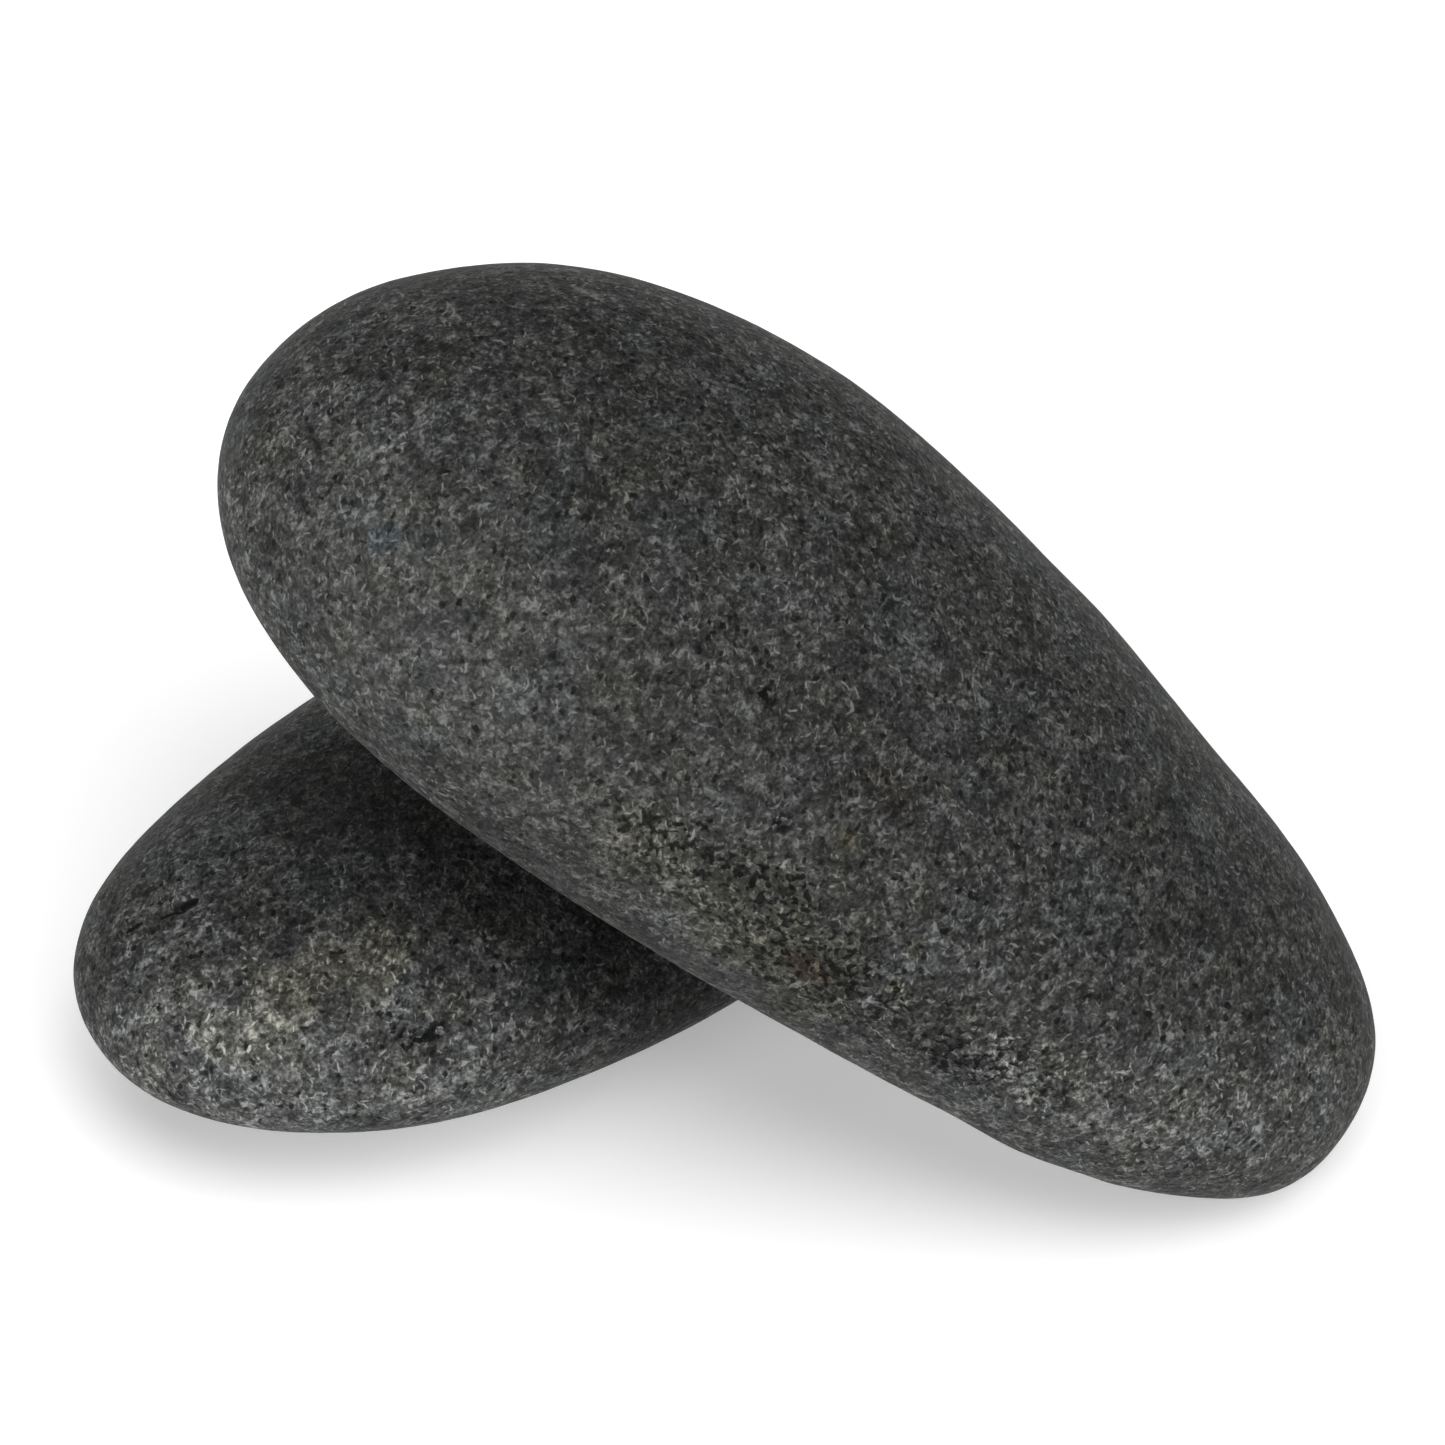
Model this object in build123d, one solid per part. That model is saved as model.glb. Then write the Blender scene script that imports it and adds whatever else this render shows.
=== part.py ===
from build123d import *
import os

# A pair of basalt massage stones. A flattened egg-shaped stone lies on its belly, and a longer
# teardrop stone leans across it: its broad end is up, its underside rests on the lower stone and
# its tip touches the surface. All lengths are in millimetres and all angles in degrees.
# The origin is the middle of the lower stone's worn rest face, +Z is up, and Z = 0 is the
# surface that the pair lies on.

# ---- lower stone, as it lies along X before it is turned: narrow end at -X
LOWER_LENGTH = 116.0
LOWER_SHOULDERS = (24.8, 73.5)
LOWER_HALF_WIDTHS = (22.2, 29.7, 40.6, 15.2)
LOWER_RISE = 0.57
LOWER_BELLY = 0.50
LOWER_NARROW_END_SHIFT = (5.8, 0.0)
LOWER_BROAD_END_SHIFT = (0.8, 0.0)
LOWER_TURN = 37.7
LOWER_WEAR = 0.3

# ---- upper stone, as it lies along X before it is turned: broad end at -X, tip at +X
UPPER_LENGTH = 130.0
UPPER_SHOULDERS = (33.8, 65.0)
UPPER_HALF_WIDTHS = (23.5, 51.6, 14.2, 35.0)
UPPER_RISE = 0.79
UPPER_BELLY = 0.55
UPPER_BROAD_END_SHIFT = (-6.5, -6.4)
UPPER_TIP_SHIFT = (3.9, -4.4)
UPPER_LEAN = 32.2
UPPER_ROLL = 5.1
UPPER_TURN = -26.7
UPPER_MIDDLE = (28.5, -12.3, 41.1)

# ---- every cross-section is four conic arcs; this weight makes them a little fuller than ellipses
FULLNESS = 0.75


def pebble(length, shoulders, half_widths, rise, belly, start_shift, end_shift):
    """A closed pebble along X, with its length centred on X = 0.

    The outline is a curve of degree five. Its first two and its last two control points share
    an X, so both ends are blunt and round, and the shoulders are the stations of the two between.
    half_widths are the control heights of that outline. rise and belly are the heights above and
    below the widest line as a share of the half width, and the shifts move the ends sideways and
    up. Four quarters follow the outline and meet along the side, top and bottom lines.
    """
    stations = (0, 0, *shoulders, length, length)
    reaches = (0, *half_widths, 0)
    middles = (start_shift, start_shift, (0, 0), (0, 0), end_shift, end_shift)
    quarters = []
    for side in (1, -1):
        for height in (rise, -belly):
            net = []
            for station, reach, (y, z) in zip(stations, reaches, middles):
                x = station - length / 2
                widest = y + side * reach
                crown = z + height * reach
                net.append([(x, widest, z), (x, widest, crown), (x, y, crown)])
            weights = [[1, FULLNESS, 1]] * len(net)
            quarters.append(Face.make_bezier_surface(net, weights))
    return Solid(Shell(quarters))


def build_lower_stone():
    """The lower stone on its worn rest face, with that face's middle at the origin."""
    stone = pebble(
        LOWER_LENGTH,
        LOWER_SHOULDERS,
        LOWER_HALF_WIDTHS,
        LOWER_RISE,
        LOWER_BELLY,
        LOWER_NARROW_END_SHIFT,
        LOWER_BROAD_END_SHIFT,
    )
    stone = Rot(Z=LOWER_TURN) * stone
    worn_level = Plane.XY.offset(stone.bounding_box().min.Z + LOWER_WEAR)
    stone = split(stone, bisect_by=worn_level, keep=Keep.TOP).solid()
    rest_face = stone.faces().sort_by(Axis.Z).first
    return Pos(-rest_face.center()) * stone


def build_upper_stone():
    """The upper stone, rolled, leaned and turned into place."""
    stone = pebble(
        UPPER_LENGTH,
        UPPER_SHOULDERS,
        UPPER_HALF_WIDTHS,
        UPPER_RISE,
        UPPER_BELLY,
        UPPER_BROAD_END_SHIFT,
        UPPER_TIP_SHIFT,
    )
    return Pos(*UPPER_MIDDLE) * Rot(Z=UPPER_TURN) * Rot(Y=UPPER_LEAN) * Rot(X=UPPER_ROLL) * stone


lower_stone = build_lower_stone()
upper_stone = build_upper_stone()

os.makedirs("parts", exist_ok=True)
export_step(lower_stone, "parts/lower_stone.step")
export_step(upper_stone, "parts/upper_stone.step")
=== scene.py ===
import math

import bmesh
import bpy
import numpy as np
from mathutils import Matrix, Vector, noise
from mathutils.bvhtree import BVHTree


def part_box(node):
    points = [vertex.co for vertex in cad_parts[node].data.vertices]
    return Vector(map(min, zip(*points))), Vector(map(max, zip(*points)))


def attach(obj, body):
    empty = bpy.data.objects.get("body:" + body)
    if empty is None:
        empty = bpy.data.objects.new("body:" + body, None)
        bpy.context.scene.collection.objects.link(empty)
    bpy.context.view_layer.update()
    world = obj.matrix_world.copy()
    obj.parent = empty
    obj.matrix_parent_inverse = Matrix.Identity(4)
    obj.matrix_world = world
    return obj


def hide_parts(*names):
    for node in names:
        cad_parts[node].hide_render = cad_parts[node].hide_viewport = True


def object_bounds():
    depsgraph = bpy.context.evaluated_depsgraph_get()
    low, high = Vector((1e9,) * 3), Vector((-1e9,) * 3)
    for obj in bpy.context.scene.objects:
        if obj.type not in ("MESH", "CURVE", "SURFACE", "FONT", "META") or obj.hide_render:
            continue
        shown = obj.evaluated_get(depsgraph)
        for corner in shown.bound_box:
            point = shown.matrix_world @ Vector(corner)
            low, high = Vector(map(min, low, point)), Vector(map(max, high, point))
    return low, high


# A pair of basalt massage stones on a pale studio floor: a flattened egg-shaped stone lies on its
# belly, and a longer teardrop stone leans across it. Lengths are in metres, unless a name or a
# comment says mm.
MM = 0.001

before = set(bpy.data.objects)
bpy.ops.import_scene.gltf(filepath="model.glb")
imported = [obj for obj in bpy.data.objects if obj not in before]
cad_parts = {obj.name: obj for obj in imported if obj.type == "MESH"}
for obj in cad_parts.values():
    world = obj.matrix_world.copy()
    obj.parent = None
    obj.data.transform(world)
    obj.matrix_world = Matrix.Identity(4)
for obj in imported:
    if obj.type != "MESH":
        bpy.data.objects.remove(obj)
cad_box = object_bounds()

# ---- what is on the stones --------------------------------------------------------------------
# Places are shares of the way through the box of the stone's CAD node.

# Broad swells and hollows of the surface: (middle, radius in mm, height in mm).
SWELLS = {
    "upper_stone": [
        ((0.00, 0.65, 0.85), 24, 0.45),
        ((0.11, 0.85, 0.91), 13, 0.45),
        ((0.56, 0.82, 0.78), 24, 0.50),
        ((0.85, 0.50, 0.46), 18, -0.60),
        ((1.00, 0.25, 0.16), 10, 0.35),
        ((0.83, 0.06, 0.06), 13, -0.70),
        ((0.67, 0.05, 0.17), 9, 0.35),
    ],
    "lower_stone": [
        ((0.10, 0.47, 0.60), 16, -0.25),
        ((0.37, 0.05, 0.30), 16, 0.25),
        ((0.06, 0.08, 0.41), 12, 0.25),
    ],
}

# Patches and spots: (kind, start, end, half width in mm, strength). Worn ones have a weaker grain,
# and rough ones and pits are dug into the mesh too.
# Some dark patches are painted shade, where one stone shades the other.
PATCHES = {
    "upper_stone": [
        # broad light and dark areas
        ("pale", (0.16, 0.31, 0.86), (0.42, 0.11, 0.58), 15, 0.24),
        ("pale", (0.05, 0.52, 0.92), (0.22, 0.28, 0.83), 12, 0.19),
        ("pale", (0.74, 0.01, 0.29), (0.94, 0.10, 0.20), 12, 0.31),
        ("pale", (0.68, 0.03, 0.34), (0.92, 0.07, 0.24), 8, 0.34),
        ("pale", (0.46, 0.09, 0.56), (0.64, 0.06, 0.47), 5, 0.17),
        ("pale", (0.49, 0.27, 0.77), (0.43, 0.54, 0.91), 6, 0.17),
        ("pale", (0.152, 0.491, 0.965), (0.16, 0.50, 0.97), 1.3, 0.41),
        ("pale", (0.098, 0.436, 0.911), (0.10, 0.44, 0.915), 1.6, 0.34),
        # painted shade: darker along the low flank edge that hangs over the lower stone
        ("dark", (0.22, 0.20, 0.60), (0.46, 0.09, 0.40), 4, 0.50),
        ("dark", (0.35, 0.60, 0.96), (0.39, 0.60, 0.95), 7, 0.25),
        ("dark", (0.81, 0.20, 0.46), (0.86, 0.16, 0.36), 6, 0.25),
        ("dark", (0.40, 0.13, 0.64), (0.47, 0.10, 0.58), 2.2, 0.35),
        ("dark", (0.59, 0.037, 0.395), (0.64, 0.022, 0.345), 2.0, 0.35),
        ("dark", (0.47, 0.08, 0.51), (0.52, 0.065, 0.47), 2.5, 0.65),
        # smoother flank and rims
        ("worn", (0.14, 0.33, 0.87), (0.42, 0.11, 0.58), 15, 0.40),
        ("worn", (0.02, 0.62, 0.85), (0.15, 0.87, 0.92), 5, 0.70),
        ("worn", (0.15, 0.87, 0.92), (0.42, 0.90, 0.87), 5, 0.70),
        ("worn", (0.69, 0.70, 0.63), (1.00, 0.30, 0.20), 4, 0.60),
        # a rough band low on the flank, with three coarser clusters in it
        ("rough", (0.35, 0.14, 0.65), (0.47, 0.09, 0.54), 7.0, 0.6),
        ("rough", (0.47, 0.08, 0.52), (0.70, 0.02, 0.32), 4.5, 0.6),
        ("rough", (0.39, 0.135, 0.65), (0.47, 0.10, 0.58), 3.2, 0.9),
        ("rough", (0.48, 0.076, 0.50), (0.56, 0.058, 0.47), 2.6, 0.9),
        ("rough", (0.58, 0.04, 0.405), (0.64, 0.022, 0.345), 2.6, 0.9),
        # stains, films and small pits
        ("rust", (0.55, 0.21, 0.69), (0.56, 0.20, 0.67), 2.0, 0.4),
        ("rust", (0.48, 0.075, 0.50), (0.50, 0.07, 0.48), 1.3, 0.7),
        ("ochre", (0.523, 0.148, 0.644), (0.523, 0.148, 0.644), 1.1, 1.0),
        ("ochre", (0.58, 0.08, 0.52), (0.58, 0.08, 0.52), 1.2, 0.8),
        ("ochre", (0.563, 0.057, 0.469), (0.563, 0.057, 0.469), 1.3, 0.9),
        ("ochre", (0.35, 0.14, 0.64), (0.50, 0.07, 0.49), 6.0, 0.45),
        ("blue", (0.144, 0.383, 0.908), (0.150, 0.390, 0.912), 1.2, 0.6),
        ("pit", (0.469, 0.151, 0.67), (0.469, 0.151, 0.67), 1.0, 1.0),
        ("pit", (0.454, 0.255, 0.782), (0.454, 0.255, 0.782), 1.0, 1.0),
    ],
    "lower_stone": [
        # the pale front
        ("pale", (0.10, 0.07, 0.64), (0.41, 0.04, 0.58), 9.5, 0.58),
        ("pale", (0.17, 0.05, 0.69), (0.22, 0.05, 0.71), 5, 0.72),
        ("pale", (0.25, 0.11, 0.81), (0.31, 0.15, 0.87), 3.5, 0.25),
        ("pale", (0.30, 0.12, 0.83), (0.39, 0.12, 0.82), 6, 0.33),
        ("pale", (0.13, 0.22, 0.83), (0.14, 0.32, 0.85), 5, 0.17),
        ("pale", (0.31, 0.02, 0.56), (0.36, 0.02, 0.55), 2.5, 0.27),
        # painted shade: darker towards the upper stone, where the crevice under it lies in shadow
        ("dark", (0.25, 0.38, 0.93), (0.32, 0.45, 0.96), 8, 0.35),
        ("dark", (0.35, 0.32, 0.97), (0.62, 0.18, 0.60), 11, 0.35),
        ("dark", (0.52, 0.20, 0.85), (0.60, 0.12, 0.48), 6, 0.25),
        ("dark", (0.36, 0.34, 0.99), (0.64, 0.16, 0.56), 7, 0.25),
        # smoother end and top
        ("worn", (0.02, 0.32, 0.57), (0.17, 0.53, 0.72), 5, 0.60),
        ("worn", (0.17, 0.45, 0.85), (0.30, 0.30, 0.92), 9, 0.30),
        # ochre film on the pale front, and a pit
        ("ochre", (0.17, 0.05, 0.70), (0.24, 0.09, 0.78), 4.0, 0.35),
        ("ochre", (0.24, 0.10, 0.79), (0.31, 0.14, 0.87), 3.5, 0.65),
        ("pit", (0.342, 0.053, 0.700), (0.370, 0.067, 0.714), 1.0, 0.9),
    ],
}
PATCH_KINDS = ("pale", "dark", "worn", "rough", "rust", "ochre", "blue", "pit")
NODE_BOXES = {node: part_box(node) for node in PATCHES}

# Thin marks: (start, end, half width in mm, how much lighter or darker).
LINES = {
    "upper_stone": [
        # pale scratches
        ((0.516, 0.059, 0.448), (0.564, 0.042, 0.378), 0.20, 0.9),
        ((0.564, 0.042, 0.378), (0.600, 0.032, 0.328), 0.16, 0.8),
        ((0.274, 0.342, 0.903), (0.366, 0.348, 0.885), 0.40, 0.5),
        ((0.398, 0.268, 0.818), (0.441, 0.279, 0.807), 0.45, 0.8),
        ((0.126, 0.480, 0.951), (0.174, 0.519, 0.979), 0.22, 0.6),
    ],
    "lower_stone": [
        # two dark slits, one with a pale rim
        ((0.098, 0.216, 0.792), (0.122, 0.223, 0.822), 0.22, -2.5),
        ((0.116, 0.214, 0.818), (0.128, 0.221, 0.832), 0.30, 0.9),
        ((0.118, 0.222, 0.816), (0.131, 0.230, 0.832), 0.48, -4.0),
        ((0.064, 0.211, 0.736), (0.078, 0.217, 0.762), 0.22, -3.0),
        # short pale scratches
        ((0.235, 0.450, 0.910), (0.250, 0.455, 0.912), 0.30, 0.9),
        ((0.205, 0.410, 0.897), (0.220, 0.415, 0.898), 0.25, 0.6),
    ],
}


def at_share(node, share):
    """A point that is the given shares of the way through a CAD node's box."""
    low, high = NODE_BOXES[node]
    return np.array([low[i] + (high[i] - low[i]) * share[i] for i in range(3)])


def mesh_arrays(mesh):
    """The vertices of a mesh as an array, and its faces as lists of vertex numbers."""
    points = np.zeros(len(mesh.vertices) * 3)
    mesh.vertices.foreach_get("co", points)
    return points.reshape(-1, 3), [list(face.vertices) for face in mesh.polygons]


def main_axes(points):
    """The long, wide and thick directions of a stone as columns, and half its extent along each."""
    spread = points - points.mean(axis=0)
    _, columns = np.linalg.eigh(spread.T @ spread)
    long_way, wide_way = columns[:, 2], columns[:, 1]
    if long_way[0] < 0:
        long_way = -long_way
    if wide_way[1] < 0:
        wide_way = -wide_way
    axes = np.column_stack([long_way, wide_way, np.cross(long_way, wide_way)])
    local = points @ axes
    return axes, (local.max(axis=0) - local.min(axis=0)) / 2


# ---- the stones' shape ------------------------------------------------------------------------

CUTS_PER_EDGE = 127
SMOOTHING_ROUNDS = 12
# The tumbled surface is a sum of waves: (size in mm, height in mm). Their order sets their seeds.
RELIEF = ((11, 0.08), (4, 0.04), (1.6, 0.02), (32, 0.12))
# Where a patch starts to fade and where it ends, as shares of its half width.
PATCH_EDGE = (0.3, 1.2)
ROUGH_DEPTH_MM = 0.12
PIT_DEPTH_MM = 0.25
LINE_DEPTH_MM = 0.12
# About how far apart the fine mesh's vertices are.
MESH_STEP_MM = 0.4
# The relief fades out towards the place where the stones touch.
TOUCHING_MM = 0.3
CONTACT_FADE_MM = 5.0


def fine_ball():
    """A finely divided cube, blown up to a ball of evenly sized squares."""
    bm = bmesh.new()
    bmesh.ops.create_cube(bm, size=2)
    bmesh.ops.subdivide_edges(bm, edges=bm.edges[:], cuts=CUTS_PER_EDGE, use_grid_fill=True)
    for vertex in bm.verts:
        vertex.co = Vector([math.tan(c * math.pi / 4) for c in vertex.co]).normalized()
    mesh = bpy.data.meshes.new("fine_ball")
    bm.to_mesh(mesh)
    bm.free()
    return mesh


def wrapped(ball, cad_points, cad_faces):
    """The ball's vertices, sent out from the middle of the CAD stone until they meet its surface."""
    axes, half = main_axes(cad_points)
    middle = Vector((cad_points.min(axis=0) + cad_points.max(axis=0)) / 2)
    surface = BVHTree.FromPolygons([Vector(p) for p in cad_points], cad_faces)
    directions, _ = mesh_arrays(ball)
    directions = directions * half @ axes.T
    return np.array([surface.ray_cast(middle, Vector(d).normalized())[0] for d in directions])


def vertex_normals(mesh):
    """The outward direction at each vertex."""
    normals = np.zeros(len(mesh.vertices) * 3)
    mesh.vertices.foreach_get("normal", normals)
    return normals.reshape(-1, 3)


def set_points(mesh, points):
    """Moves a mesh's vertices to new places."""
    mesh.vertices.foreach_set("co", points.ravel())
    mesh.update()


def smoothed(mesh, points, rounds):
    """Each point moves to the mean of its neighbours, which takes away the CAD mesh's facets."""
    edges = np.zeros(len(mesh.edges) * 2, dtype=int)
    mesh.edges.foreach_get("vertices", edges)
    start, end = edges.reshape(-1, 2).T
    count = np.bincount(edges, minlength=len(points))[:, None]
    for _ in range(rounds):
        sums = [
            np.bincount(start, column[end], len(column)) + np.bincount(end, column[start], len(column))
            for column in points.T
        ]
        points = np.column_stack(sums) / count
    return points


def waves(points, size_mm, seed):
    """Smooth random waves of about that size, from -1 to 1, the same on every run."""
    offset = Vector((7.3 * seed, -3.1 * seed, 5.7 * seed))
    scaled = points / (size_mm * MM)
    return np.array([noise.noise(Vector(p) + offset) for p in scaled])


def smooth_step(low, high, values):
    """0 at low and 1 at high, with a smooth change between them."""
    share = np.clip((values - low) / (high - low), 0, 1)
    return share * share * (3 - 2 * share)


def clearance(points, other_points, other_faces):
    """How far each point is from another stone."""
    surface = BVHTree.FromPolygons([Vector(p) for p in other_points], other_faces)
    return np.array([surface.find_nearest(Vector(p))[3] for p in points])


def distance_to_line(points, start, end):
    """How far each point is from the straight line between two points."""
    along = end - start
    length_squared = max(along @ along, 1e-12)
    share = np.clip((points - start) @ along / length_squared, 0, 1)
    return np.linalg.norm(points - start - share[:, None] * along, axis=1)


def patch_strengths(points, node, raggedness):
    """For each kind of patch, how strong it is at each point, from 0 to 1, with ragged edges."""
    strengths = {kind: np.zeros(len(points)) for kind in PATCH_KINDS}
    for kind, start, end, half_width, strength in PATCHES[node]:
        away = distance_to_line(points, at_share(node, start), at_share(node, end)) / MM
        inside = 1 - smooth_step(*PATCH_EDGE, away / half_width + raggedness)
        strengths[kind] = 1 - (1 - strengths[kind]) * (1 - strength * inside)
    return strengths


def relief_and_patches(points, node, seed):
    """How far each point of the surface stands out, in mm, and the strength of its patches."""
    layers = [waves(points, size, seed + i) for i, (size, _) in enumerate(RELIEF)]
    relief = sum(height * layer for (_, height), layer in zip(RELIEF, layers))
    for middle, radius, height in SWELLS[node]:
        away = np.linalg.norm(points - at_share(node, middle), axis=1) / MM
        relief += height * (1 - smooth_step(0, radius, away))
    broad, middling, fine, _ = layers
    patches = patch_strengths(points, node, 0.5 * broad + 0.6 * middling)
    relief -= ROUGH_DEPTH_MM * patches["rough"] * (1 + 2.5 * fine)
    relief -= PIT_DEPTH_MM * patches["pit"]
    for start, end, half_width, tone in LINES[node]:
        if tone < 0:
            away = distance_to_line(points, at_share(node, start), at_share(node, end)) / MM
            relief += LINE_DEPTH_MM * tone * (1 - smooth_step(0, half_width + MESH_STEP_MM, away))
    return relief, patches


def make_stone(name, ball, node, other_node, seed):
    """A stone's fine mesh: the CAD shape with its facets smoothed away and its relief added.
    Each kind of patch is kept on the mesh as an attribute, which the material reads."""
    cad_points, cad_faces = mesh_arrays(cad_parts[node].data)
    mesh = ball.copy()
    mesh.name = name
    points = smoothed(mesh, wrapped(mesh, cad_points, cad_faces), SMOOTHING_ROUNDS)
    set_points(mesh, points)
    relief, patches = relief_and_patches(points, node, seed)
    gap = clearance(points, *mesh_arrays(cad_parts[other_node].data)) / MM
    relief *= smooth_step(TOUCHING_MM, CONTACT_FADE_MM, gap)
    points = points + vertex_normals(mesh) * relief[:, None] * MM
    points[:, 2] = np.maximum(points[:, 2], cad_points[:, 2].min())
    set_points(mesh, points)
    mesh.shade_smooth()
    for kind, strength in patches.items():
        mesh.attributes.new(kind, "FLOAT", "POINT").data.foreach_set("value", strength)
    stone = bpy.data.objects.new(name, mesh)
    bpy.context.scene.collection.objects.link(stone)
    return stone


# ---- building node materials ------------------------------------------------------------------

# How far out a crystal fades, from nothing to solid, as shares of its half size.
CRYSTAL_EDGE = (1.1, 0.65)
LINE_DEPTH_REACH = 5


class Nodes:
    """A short way to write a node tree: each call adds nodes, and most return their output."""

    def __init__(self, tree):
        self.tree = tree
        tree.nodes.clear()

    def add(self, kind, inputs=None, **settings):
        node = self.tree.nodes.new(kind)
        for key, value in settings.items():
            setattr(node, key, value)
        for key, value in (inputs or {}).items():
            if isinstance(value, bpy.types.NodeSocket):
                self.tree.links.new(value, node.inputs[key])
            else:
                node.inputs[key].default_value = value
        return node

    def math(self, operation, *values):
        inputs = dict(enumerate(values))
        return self.add("ShaderNodeMath", inputs, operation=operation).outputs[0]

    def total(self, *values):
        result = values[0]
        for value in values[1:]:
            result = self.math("ADD", result, value)
        return result

    def product(self, *values):
        result = values[0]
        for value in values[1:]:
            result = self.math("MULTIPLY", result, value)
        return result

    def vector(self, operation, *values):
        inputs = dict(enumerate(values))
        node = self.add("ShaderNodeVectorMath", inputs, operation=operation)
        return node.outputs["Value" if operation in ("LENGTH", "DOT_PRODUCT") else "Vector"]

    def scaled(self, vector, factor):
        inputs = {"Vector": vector, "Scale": factor}
        return self.add("ShaderNodeVectorMath", inputs, operation="SCALE").outputs[0]

    def step(self, value, low, high):
        """0 at low and 1 at high, with a smooth change between them."""
        inputs = {"Value": value, "From Min": low, "From Max": high}
        return self.add("ShaderNodeMapRange", inputs, interpolation_type="SMOOTHSTEP").outputs[0]

    def mixed(self, share, first, second):
        """The first colour where share is 0 and the second where it is 1."""
        node = self.add("ShaderNodeMix", {0: share}, data_type="RGBA")
        for socket, value in ((6, first), (7, second)):
            if isinstance(value, bpy.types.NodeSocket):
                self.tree.links.new(value, node.inputs[socket])
            else:
                node.inputs[socket].default_value = (*value, 1)
        return node.outputs[2]

    def noise(self, place, size_mm, detail=2.0, offset=0.0):
        """Random waves of about that size, with a mean of 0, mostly from -1 to 1."""
        moved = self.vector("ADD", place, (offset, -0.7 * offset, 1.3 * offset))
        inputs = {"Vector": moved, "Scale": 1 / size_mm, "Detail": detail, "Roughness": 0.55}
        factor = self.add("ShaderNodeTexNoise", inputs).outputs[0]
        return self.math("MULTIPLY_ADD", factor, 4.0, -2.0)

    def plates(self, place, cell_mm, half_mm, bend, share):
        """Thin curved crystals at random places and angles, one to a cell. A flat cut through
        them shows short sickle-shaped lines. half_mm is half a crystal's size along its axes."""
        cell = self.add("ShaderNodeTexVoronoi", {"Vector": place, "Scale": 1 / cell_mm})
        from_middle = self.vector("SUBTRACT", place, cell.outputs["Position"])
        turns = self.scaled(cell.outputs["Color"], 4 * math.pi)
        inputs = {"Vector": from_middle, "Rotation": turns}
        turned = self.add("ShaderNodeVectorRotate", inputs, rotation_type="EULER_XYZ").outputs[0]
        x, y, z = self.add("ShaderNodeSeparateXYZ", {0: turned}).outputs
        z = self.math("MULTIPLY_ADD", self.math("MULTIPLY", x, x), bend, z)
        halves = [self.math("DIVIDE", value, half) for value, half in zip((x, y, z), half_mm)]
        inside = self.add("ShaderNodeCombineXYZ", dict(enumerate(halves))).outputs[0]
        solid = self.step(self.vector("LENGTH", inside), *CRYSTAL_EDGE)
        luck = self.add("ShaderNodeSeparateColor", {0: cell.outputs["Color"]}).outputs[1]
        return self.product(solid, self.step(luck, 1 - share, 1 - share * 0.3))

    def line(self, place, start, end, depth_way, half_width):
        """1 on the straight line between two points and 0 beyond half_width from it.
        It reaches several times as far along depth_way, so that a curved surface still meets it."""
        along = end - start
        from_start = self.vector("SUBTRACT", place, tuple(start))
        share = self.vector("DOT_PRODUCT", from_start, tuple(along / (along @ along)))
        share = self.math("MAXIMUM", self.math("MINIMUM", share, 1.0), 0.0)
        away = self.vector("SUBTRACT", from_start, self.scaled(self.fixed(along), share))
        depth = self.vector("DOT_PRODUCT", away, tuple(depth_way * (1 - 1 / LINE_DEPTH_REACH)))
        away = self.vector("SUBTRACT", away, self.scaled(self.fixed(depth_way), depth))
        return self.step(self.vector("LENGTH", away), half_width, half_width * 0.3)

    def fixed(self, vector):
        """The same vector everywhere."""
        return self.add("ShaderNodeCombineXYZ", {i: float(vector[i]) for i in range(3)}).outputs[0]

    def chips(self, place, size_mm):
        """Angular grains of about that size, each of its own random shade from -1 to 1."""
        cell = self.add("ShaderNodeTexVoronoi", {"Vector": place, "Scale": 1 / size_mm})
        shade = self.add("ShaderNodeSeparateColor", {0: cell.outputs["Color"]}).outputs[0]
        return self.math("MULTIPLY_ADD", shade, 2.0, -1.0)


# ---- basalt -----------------------------------------------------------------------------------

# The layers that the stone's grain is made of, with sizes in mm. The stone's brightness is e to
# the power of the sum of their tones.
WAVES = {  # name: (size, detail, offset of the pattern, tone)
    "dust": (0.35, 1.0, 0, 0.74),
    "grains": (1.1, 2.0, 11, 0.62),
}
STREAKS = {  # the same, drawn out along the stone
    "clumps": (2.8, 2.0, 23, 0.40),
    "clouds": (9.0, 2.0, 37, 0.21),
}
CHIPS = {  # name: (size, tone)
    "chips": (0.95, 0.42),
    "small_chips": (0.48, 0.60),
}
CRYSTALS = {  # name: (cell, half sizes, bend, share of cells that hold one, uneven edges, tone)
    "flecks": (1.5, (0.80, 0.55, 0.12), 0.5, 0.50, False, 1.40),
    "small_flecks": (0.85, (0.48, 0.36, 0.10), -0.8, 0.70, False, 1.30),
    "dark_grains": (1.1, (0.48, 0.36, 0.24), 0.2, 0.70, True, -1.7),
}
STREAK_SQUEEZE = 0.55
EDGE_SHAKE_SIZE_MM = 0.5
EDGE_SHAKE_MM = 0.14
# The grain's tone never rises above the first, and the blend rounds it off below that.
BRIGHTEST_TONE = 1.5
BRIGHTEST_BLEND = 0.5
WORN_LOSS_OF_CONTRAST = 0.5

# Where a detail shows, by noise: (size, detail, offset, level where it starts, where it is full).
AREAS = {
    "warm": (5.0, 2.0, 51, -0.5, 1.0),
    "cool": (6.0, 2.0, 67, -0.2, 1.1),
    "gaps": (0.8, 1.0, 71, 0.0, 0.4),
    "holes": (0.8, 1.0, 83, -0.1, 0.2),
}
ROUGH_BLOCKS_PER_MM = 0.85
GAP_EDGE = (0.25, 0.07)
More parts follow.
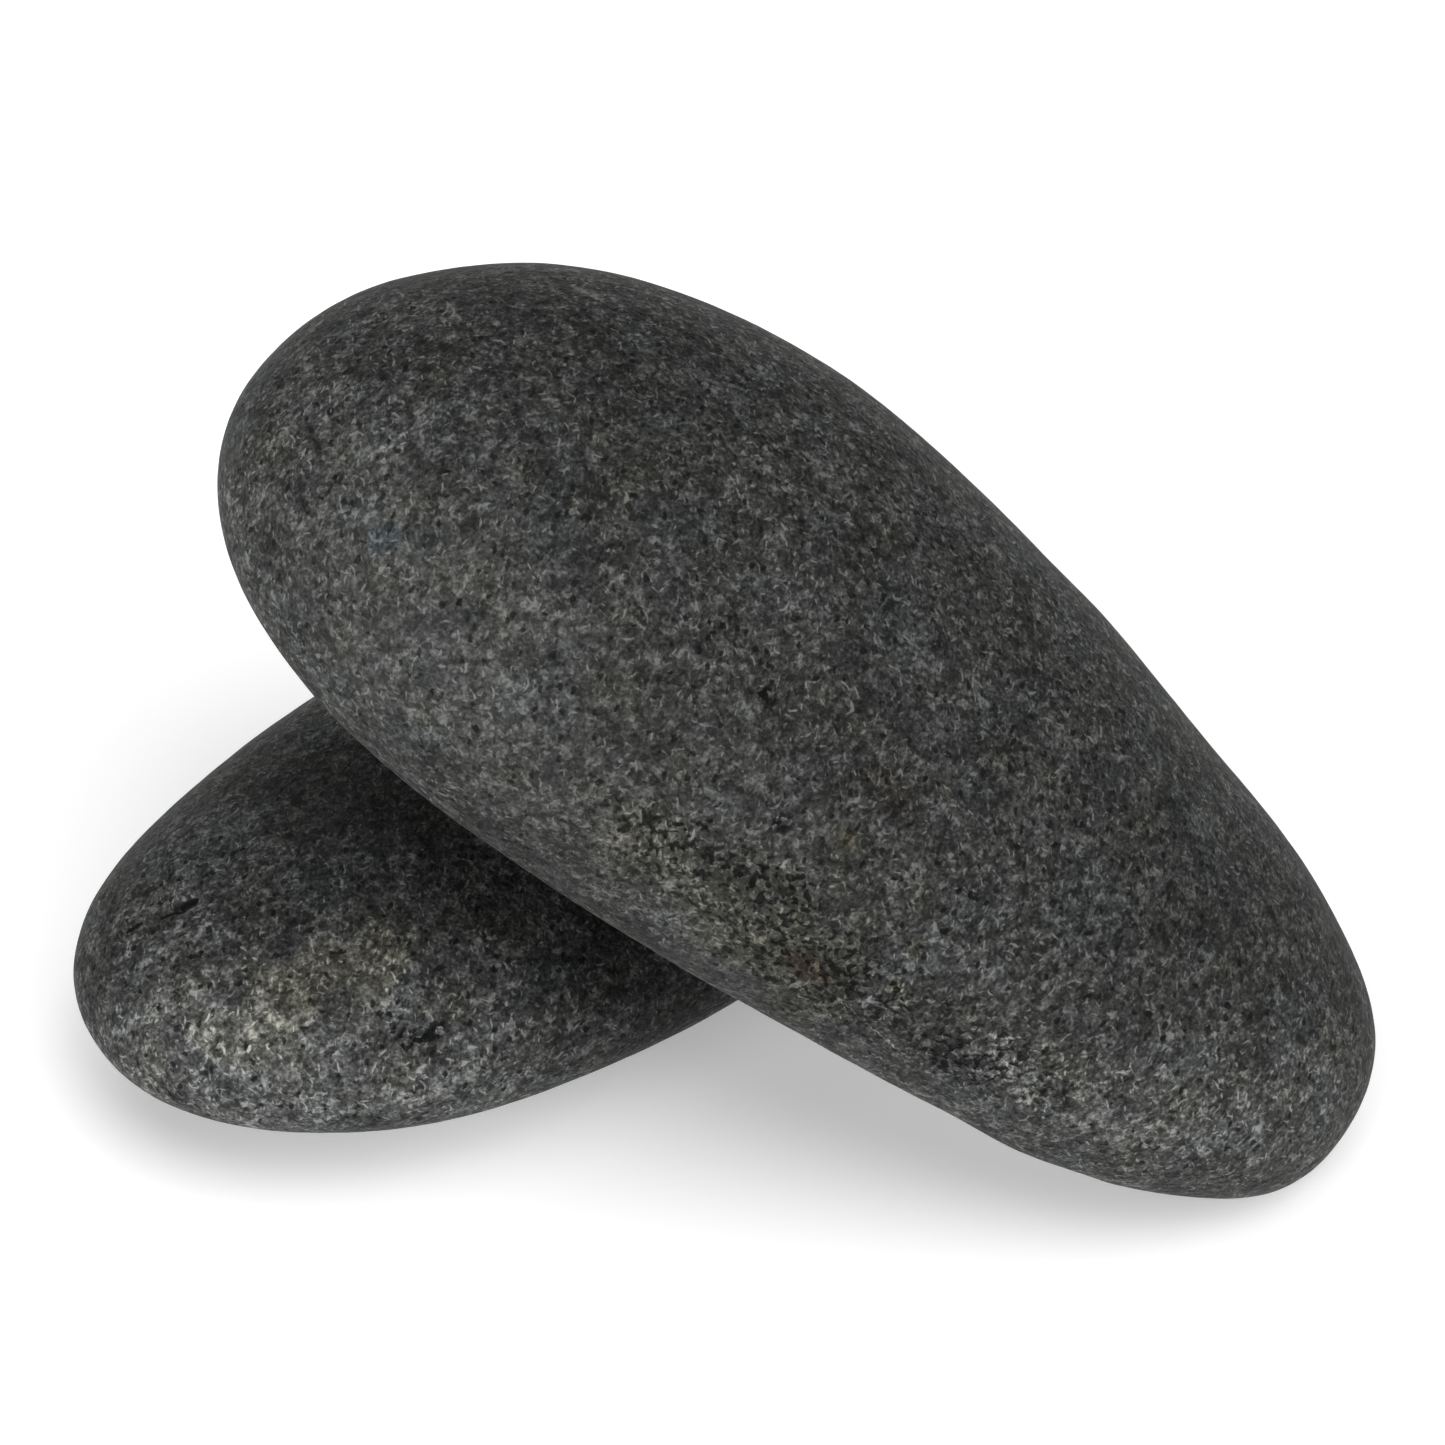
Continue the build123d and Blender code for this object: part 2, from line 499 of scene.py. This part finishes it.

# What the patches, and the gaps and holes in them, do to the tone, the colour and the surface.
# the dark tone darkens real dark spots and also the painted shade where the stones touch
PATCH_TONES = {"pale": 1.10, "dark": -1.0, "rough": 0.22, "ochre": 0.22, "rust": -0.3}
DETAIL_TONES = {"gaps": -2.5, "holes": -3.0}
ROUGH_CHIP_TONE = 0.30
UPPER_BASE = (0.0322, 0.0329, 0.0318)
LOWER_BASE = (0.0322, 0.0329, 0.0322)
TINTS = {  # how much each kind changes the base colour's red, green and blue
    "warm": (1.01, 1.015, 0.92),
    "cool": (0.97, 1.0, 1.04),
    "ochre": (1.11, 1.03, 0.79),
    "rust": (1.22, 0.90, 0.68),
    "blue": (0.78, 0.95, 1.12),
}
ROUGHNESS = 0.68
BUMP_MM = 0.06
BUMP_HEIGHTS = {"grains": 1.0, "dust": 0.3, "small_chips": 0.4, "gaps": -3.5, "holes": -3.0}


def stone_places(n, axes, offset):
    """The place in mm in three forms: plain, squeezed along the stone so that clouds become
    streaks, and shaken a little so that grains have uneven edges."""
    place = n.scaled(n.add("ShaderNodeTexCoord").outputs["Object"], 1 / MM)
    place = n.vector("ADD", place, (offset, offset, offset))
    parts = [n.vector("DOT_PRODUCT", place, tuple(axes[:, i])) for i in range(3)]
    parts[0] = n.math("MULTIPLY", parts[0], STREAK_SQUEEZE)
    along = n.add("ShaderNodeCombineXYZ", dict(enumerate(parts))).outputs[0]
    shake = n.noise(place, EDGE_SHAKE_SIZE_MM, 1.0, 5)
    shake = n.add("ShaderNodeCombineXYZ", {0: shake, 1: shake, 2: shake}).outputs[0]
    return place, along, n.vector("ADD", place, n.scaled(shake, EDGE_SHAKE_MM))


def grain(n, place, along, shaken):
    """The layers of the grain by name, and the tone that they add up to."""
    layers, tones = {}, []
    for where, table in ((place, WAVES), (along, STREAKS)):
        for name, (size, detail, offset, tone) in table.items():
            layers[name] = n.noise(where, size, detail, offset)
            tones.append(n.product(layers[name], tone))
    for name, (size, tone) in CHIPS.items():
        layers[name] = n.chips(shaken, size)
        tones.append(n.product(layers[name], tone))
    for name, (cell, half_sizes, bend, share, uneven, tone) in CRYSTALS.items():
        layers[name] = n.plates(shaken if uneven else place, cell, half_sizes, bend, share)
        tones.append(n.product(layers[name], tone))
    return layers, n.math("SMOOTH_MIN", n.total(*tones), BRIGHTEST_TONE, BRIGHTEST_BLEND)


def area(n, place, name):
    """1 where the detail of that name shows and 0 elsewhere, with soft edges."""
    size, detail, offset, start, full = AREAS[name]
    return n.step(n.noise(place, size, detail, offset), start, full)


def gaps_and_holes(n, place, patch):
    """The short dark gaps between the blocks of a rough patch, and the holes of a pit."""
    inputs = {"Vector": place, "Scale": ROUGH_BLOCKS_PER_MM}
    blocks = n.add("ShaderNodeTexVoronoi", inputs, feature="DISTANCE_TO_EDGE")
    gaps = n.product(n.step(blocks.outputs[0], *GAP_EDGE), patch["rough"], area(n, place, "gaps"))
    return {"gaps": gaps, "holes": n.product(area(n, place, "holes"), patch["pit"])}


def stone_colour(n, place, patch, base, brightness):
    """A grey that leans warm here and cool there, with the tints of its patches."""
    strengths = {**patch, "warm": area(n, place, "warm"), "cool": area(n, place, "cool")}
    colour = base
    for kind, tint in TINTS.items():
        colour = n.mixed(strengths[kind], colour, tuple(base * tint))
    return n.scaled(colour, brightness)


def make_basalt(name, axes, base, lines, offset):
    """Dark fine-grained lava stone, tumbled smooth: grey groundmass of sub-millimetre grains,
    pale sickle-shaped feldspar flecks, dark grains, and broad patches that lean warm or cool."""
    material = bpy.data.materials.new(name)
    material.use_nodes = True
    n = Nodes(material.node_tree)
    patch = {
        kind: n.add("ShaderNodeAttribute", attribute_name=kind).outputs["Fac"]
        for kind in PATCH_KINDS
    }
    place, along, shaken = stone_places(n, axes, offset)
    layer, tone = grain(n, place, along, shaken)
    layer.update(gaps_and_holes(n, place, patch))

    contrast = n.math("MULTIPLY_ADD", patch["worn"], -WORN_LOSS_OF_CONTRAST, 1.0)
    tones = [n.product(tone, contrast), n.product(patch["rough"], layer["chips"], ROUGH_CHIP_TONE)]
    tones += [n.product(layer[name], change) for name, change in DETAIL_TONES.items()]
    tones += [n.product(patch[kind], change) for kind, change in PATCH_TONES.items()]
    for start, end, depth_way, half_width, change in lines:
        line = n.line(shaken, start + offset, end + offset, depth_way, half_width)
        tones.append(n.product(line, change))
    brightness = n.math("EXPONENT", n.total(*tones))

    # satin, with crystals a little glossier than the groundmass, and rough patches duller
    roughness = n.total(
        n.math("MULTIPLY_ADD", layer["grains"], 0.05, ROUGHNESS),
        n.product(layer["flecks"], -0.12),
        n.product(patch["rough"], 0.08),
    )
    height = n.total(*[n.product(layer[name], share) for name, share in BUMP_HEIGHTS.items()])
    bump = n.add("ShaderNodeBump", {"Height": height, "Distance": BUMP_MM * MM, "Strength": 1.0})
    shader = n.add("ShaderNodeBsdfPrincipled", {
        "Base Color": stone_colour(n, place, patch, base, brightness),
        "Roughness": roughness,
        "Normal": bump.outputs[0],
        "Specular IOR Level": 0.11,
        "Sheen Weight": 0.03,
        "Sheen Roughness": 0.45,
        "Sheen Tint": (0.90, 1.0, 0.90, 1),
    })
    n.add("ShaderNodeOutputMaterial", {"Surface": shader.outputs[0]})
    return material


def make_paper(name, shade, glow):
    """Matt studio paper. It glows a little, so that the shadows on it stay pale."""
    material = bpy.data.materials.new(name)
    material.use_nodes = True
    n = Nodes(material.node_tree)
    fibres = n.noise(n.scaled(n.add("ShaderNodeTexCoord").outputs["Object"], 1 / MM), 0.6, 2.0)
    value = n.math("MULTIPLY_ADD", fibres, 0.004, shade)
    colour = n.add("ShaderNodeCombineColor", {0: value, 1: value, 2: value}).outputs[0]
    shader = n.add("ShaderNodeBsdfPrincipled", {
        "Base Color": colour,
        "Roughness": 0.9,
        "Emission Color": (1, 1, 1, 1),
        "Emission Strength": glow,
    })
    n.add("ShaderNodeOutputMaterial", {"Surface": shader.outputs[0]})
    return material


def finish_stone(stone, node, base, offset):
    """Gives a stone its basalt, and puts it on its CAD body in place of the CAD solid."""
    axes, _ = main_axes(mesh_arrays(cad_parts[node].data)[0])
    lines = []
    for start, end, half_width, tone in LINES[node]:
        start, end = at_share(node, start), at_share(node, end)
        _, _, outwards, _ = stone.closest_point_on_mesh(Vector((start + end) / 2))
        lines.append((start / MM, end / MM, np.array(outwards), half_width, tone))
    stone.data.materials.append(make_basalt(stone.name, axes, np.array(base), lines, offset))
    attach(stone, node)
    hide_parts(node)


ball = fine_ball()
upper = make_stone("upper_basalt", ball, "upper_stone", "lower_stone", 1)
lower = make_stone("lower_basalt", ball, "lower_stone", "upper_stone", 21)
bpy.data.meshes.remove(ball)
finish_stone(upper, "upper_stone", UPPER_BASE, 0.0)
finish_stone(lower, "lower_stone", LOWER_BASE, 400.0)

# ---- floor, light and camera ------------------------------------------------------------------

FLOOR_SIZE = 6
PAPER_SHADE = 0.9
PAPER_GLOW = 0.28
BACKDROP_SHADE = 1.0
WORLD_LIGHT = 0.02
# Each light is as wide and soft as a studio softbox: (name, azimuth, elevation in degrees, strength).
# Azimuth 0 is the camera's side, and 90 is the right.
LIGHT_WIDTH = math.radians(42)
LIGHTS = [
    ("front_left", 315, 14, 2.50),
    ("left", 270, 14, 0.25),
    ("right", 90, 14, 0.45),
    ("back", 180, 34, 0.45),
    ("high_right", 60, 60, 1.30),
    ("top", 0, 88, 0.93),
]

bpy.ops.mesh.primitive_plane_add(size=FLOOR_SIZE)
floor = bpy.context.object
floor.name = "floor"
floor.data.materials.append(make_paper("floor_paper", PAPER_SHADE, PAPER_GLOW))

world = bpy.data.worlds.new("studio")
bpy.context.scene.world = world
world.use_nodes = True
n = Nodes(world.node_tree)
seen = n.add("ShaderNodeLightPath").outputs["Is Camera Ray"]
strength = n.math("MULTIPLY_ADD", seen, BACKDROP_SHADE - WORLD_LIGHT, WORLD_LIGHT)
background = n.add("ShaderNodeBackground", {"Color": (1, 1, 1, 1), "Strength": strength})
n.add("ShaderNodeOutputWorld", {"Surface": background.outputs[0]})

for name, azimuth, elevation, strength in LIGHTS:
    azimuth, elevation = math.radians(azimuth), math.radians(elevation)
    level = math.cos(elevation)
    towards = Vector((math.sin(azimuth) * level, -math.cos(azimuth) * level, math.sin(elevation)))
    light = bpy.data.lights.new(name, "SUN")
    light.energy = strength
    light.angle = LIGHT_WIDTH
    lamp = bpy.data.objects.new(name, light)
    lamp.location = towards
    lamp.rotation_euler = towards.to_track_quat("Z", "Y").to_euler()
    bpy.context.scene.collection.objects.link(lamp)

# The camera looks along +Y and down, at a point given as shares of the CAD model's box.
CAMERA_AIM_SHARE = (0.501, 0.534, 0.338)
CAMERA_ELEVATION = math.radians(48)
CAMERA_DISTANCE = 0.4065
CAMERA_LENS_MM = 100
CAMERA_SENSOR_MM = 36
low, high = cad_box
aim = Vector([low[i] + (high[i] - low[i]) * CAMERA_AIM_SHARE[i] for i in range(3)])
back = Vector((0, -math.cos(CAMERA_ELEVATION), math.sin(CAMERA_ELEVATION)))
camera = bpy.data.objects.new("camera", bpy.data.cameras.new("camera"))
camera.data.lens = CAMERA_LENS_MM
camera.data.sensor_width = CAMERA_SENSOR_MM
camera.data.clip_start = 0.01
camera.location = aim + back * CAMERA_DISTANCE
camera.rotation_euler = back.to_track_quat("Z", "Y").to_euler()
bpy.context.scene.collection.objects.link(camera)
bpy.context.scene.camera = camera

bpy.context.scene.view_settings.view_transform = "Standard"
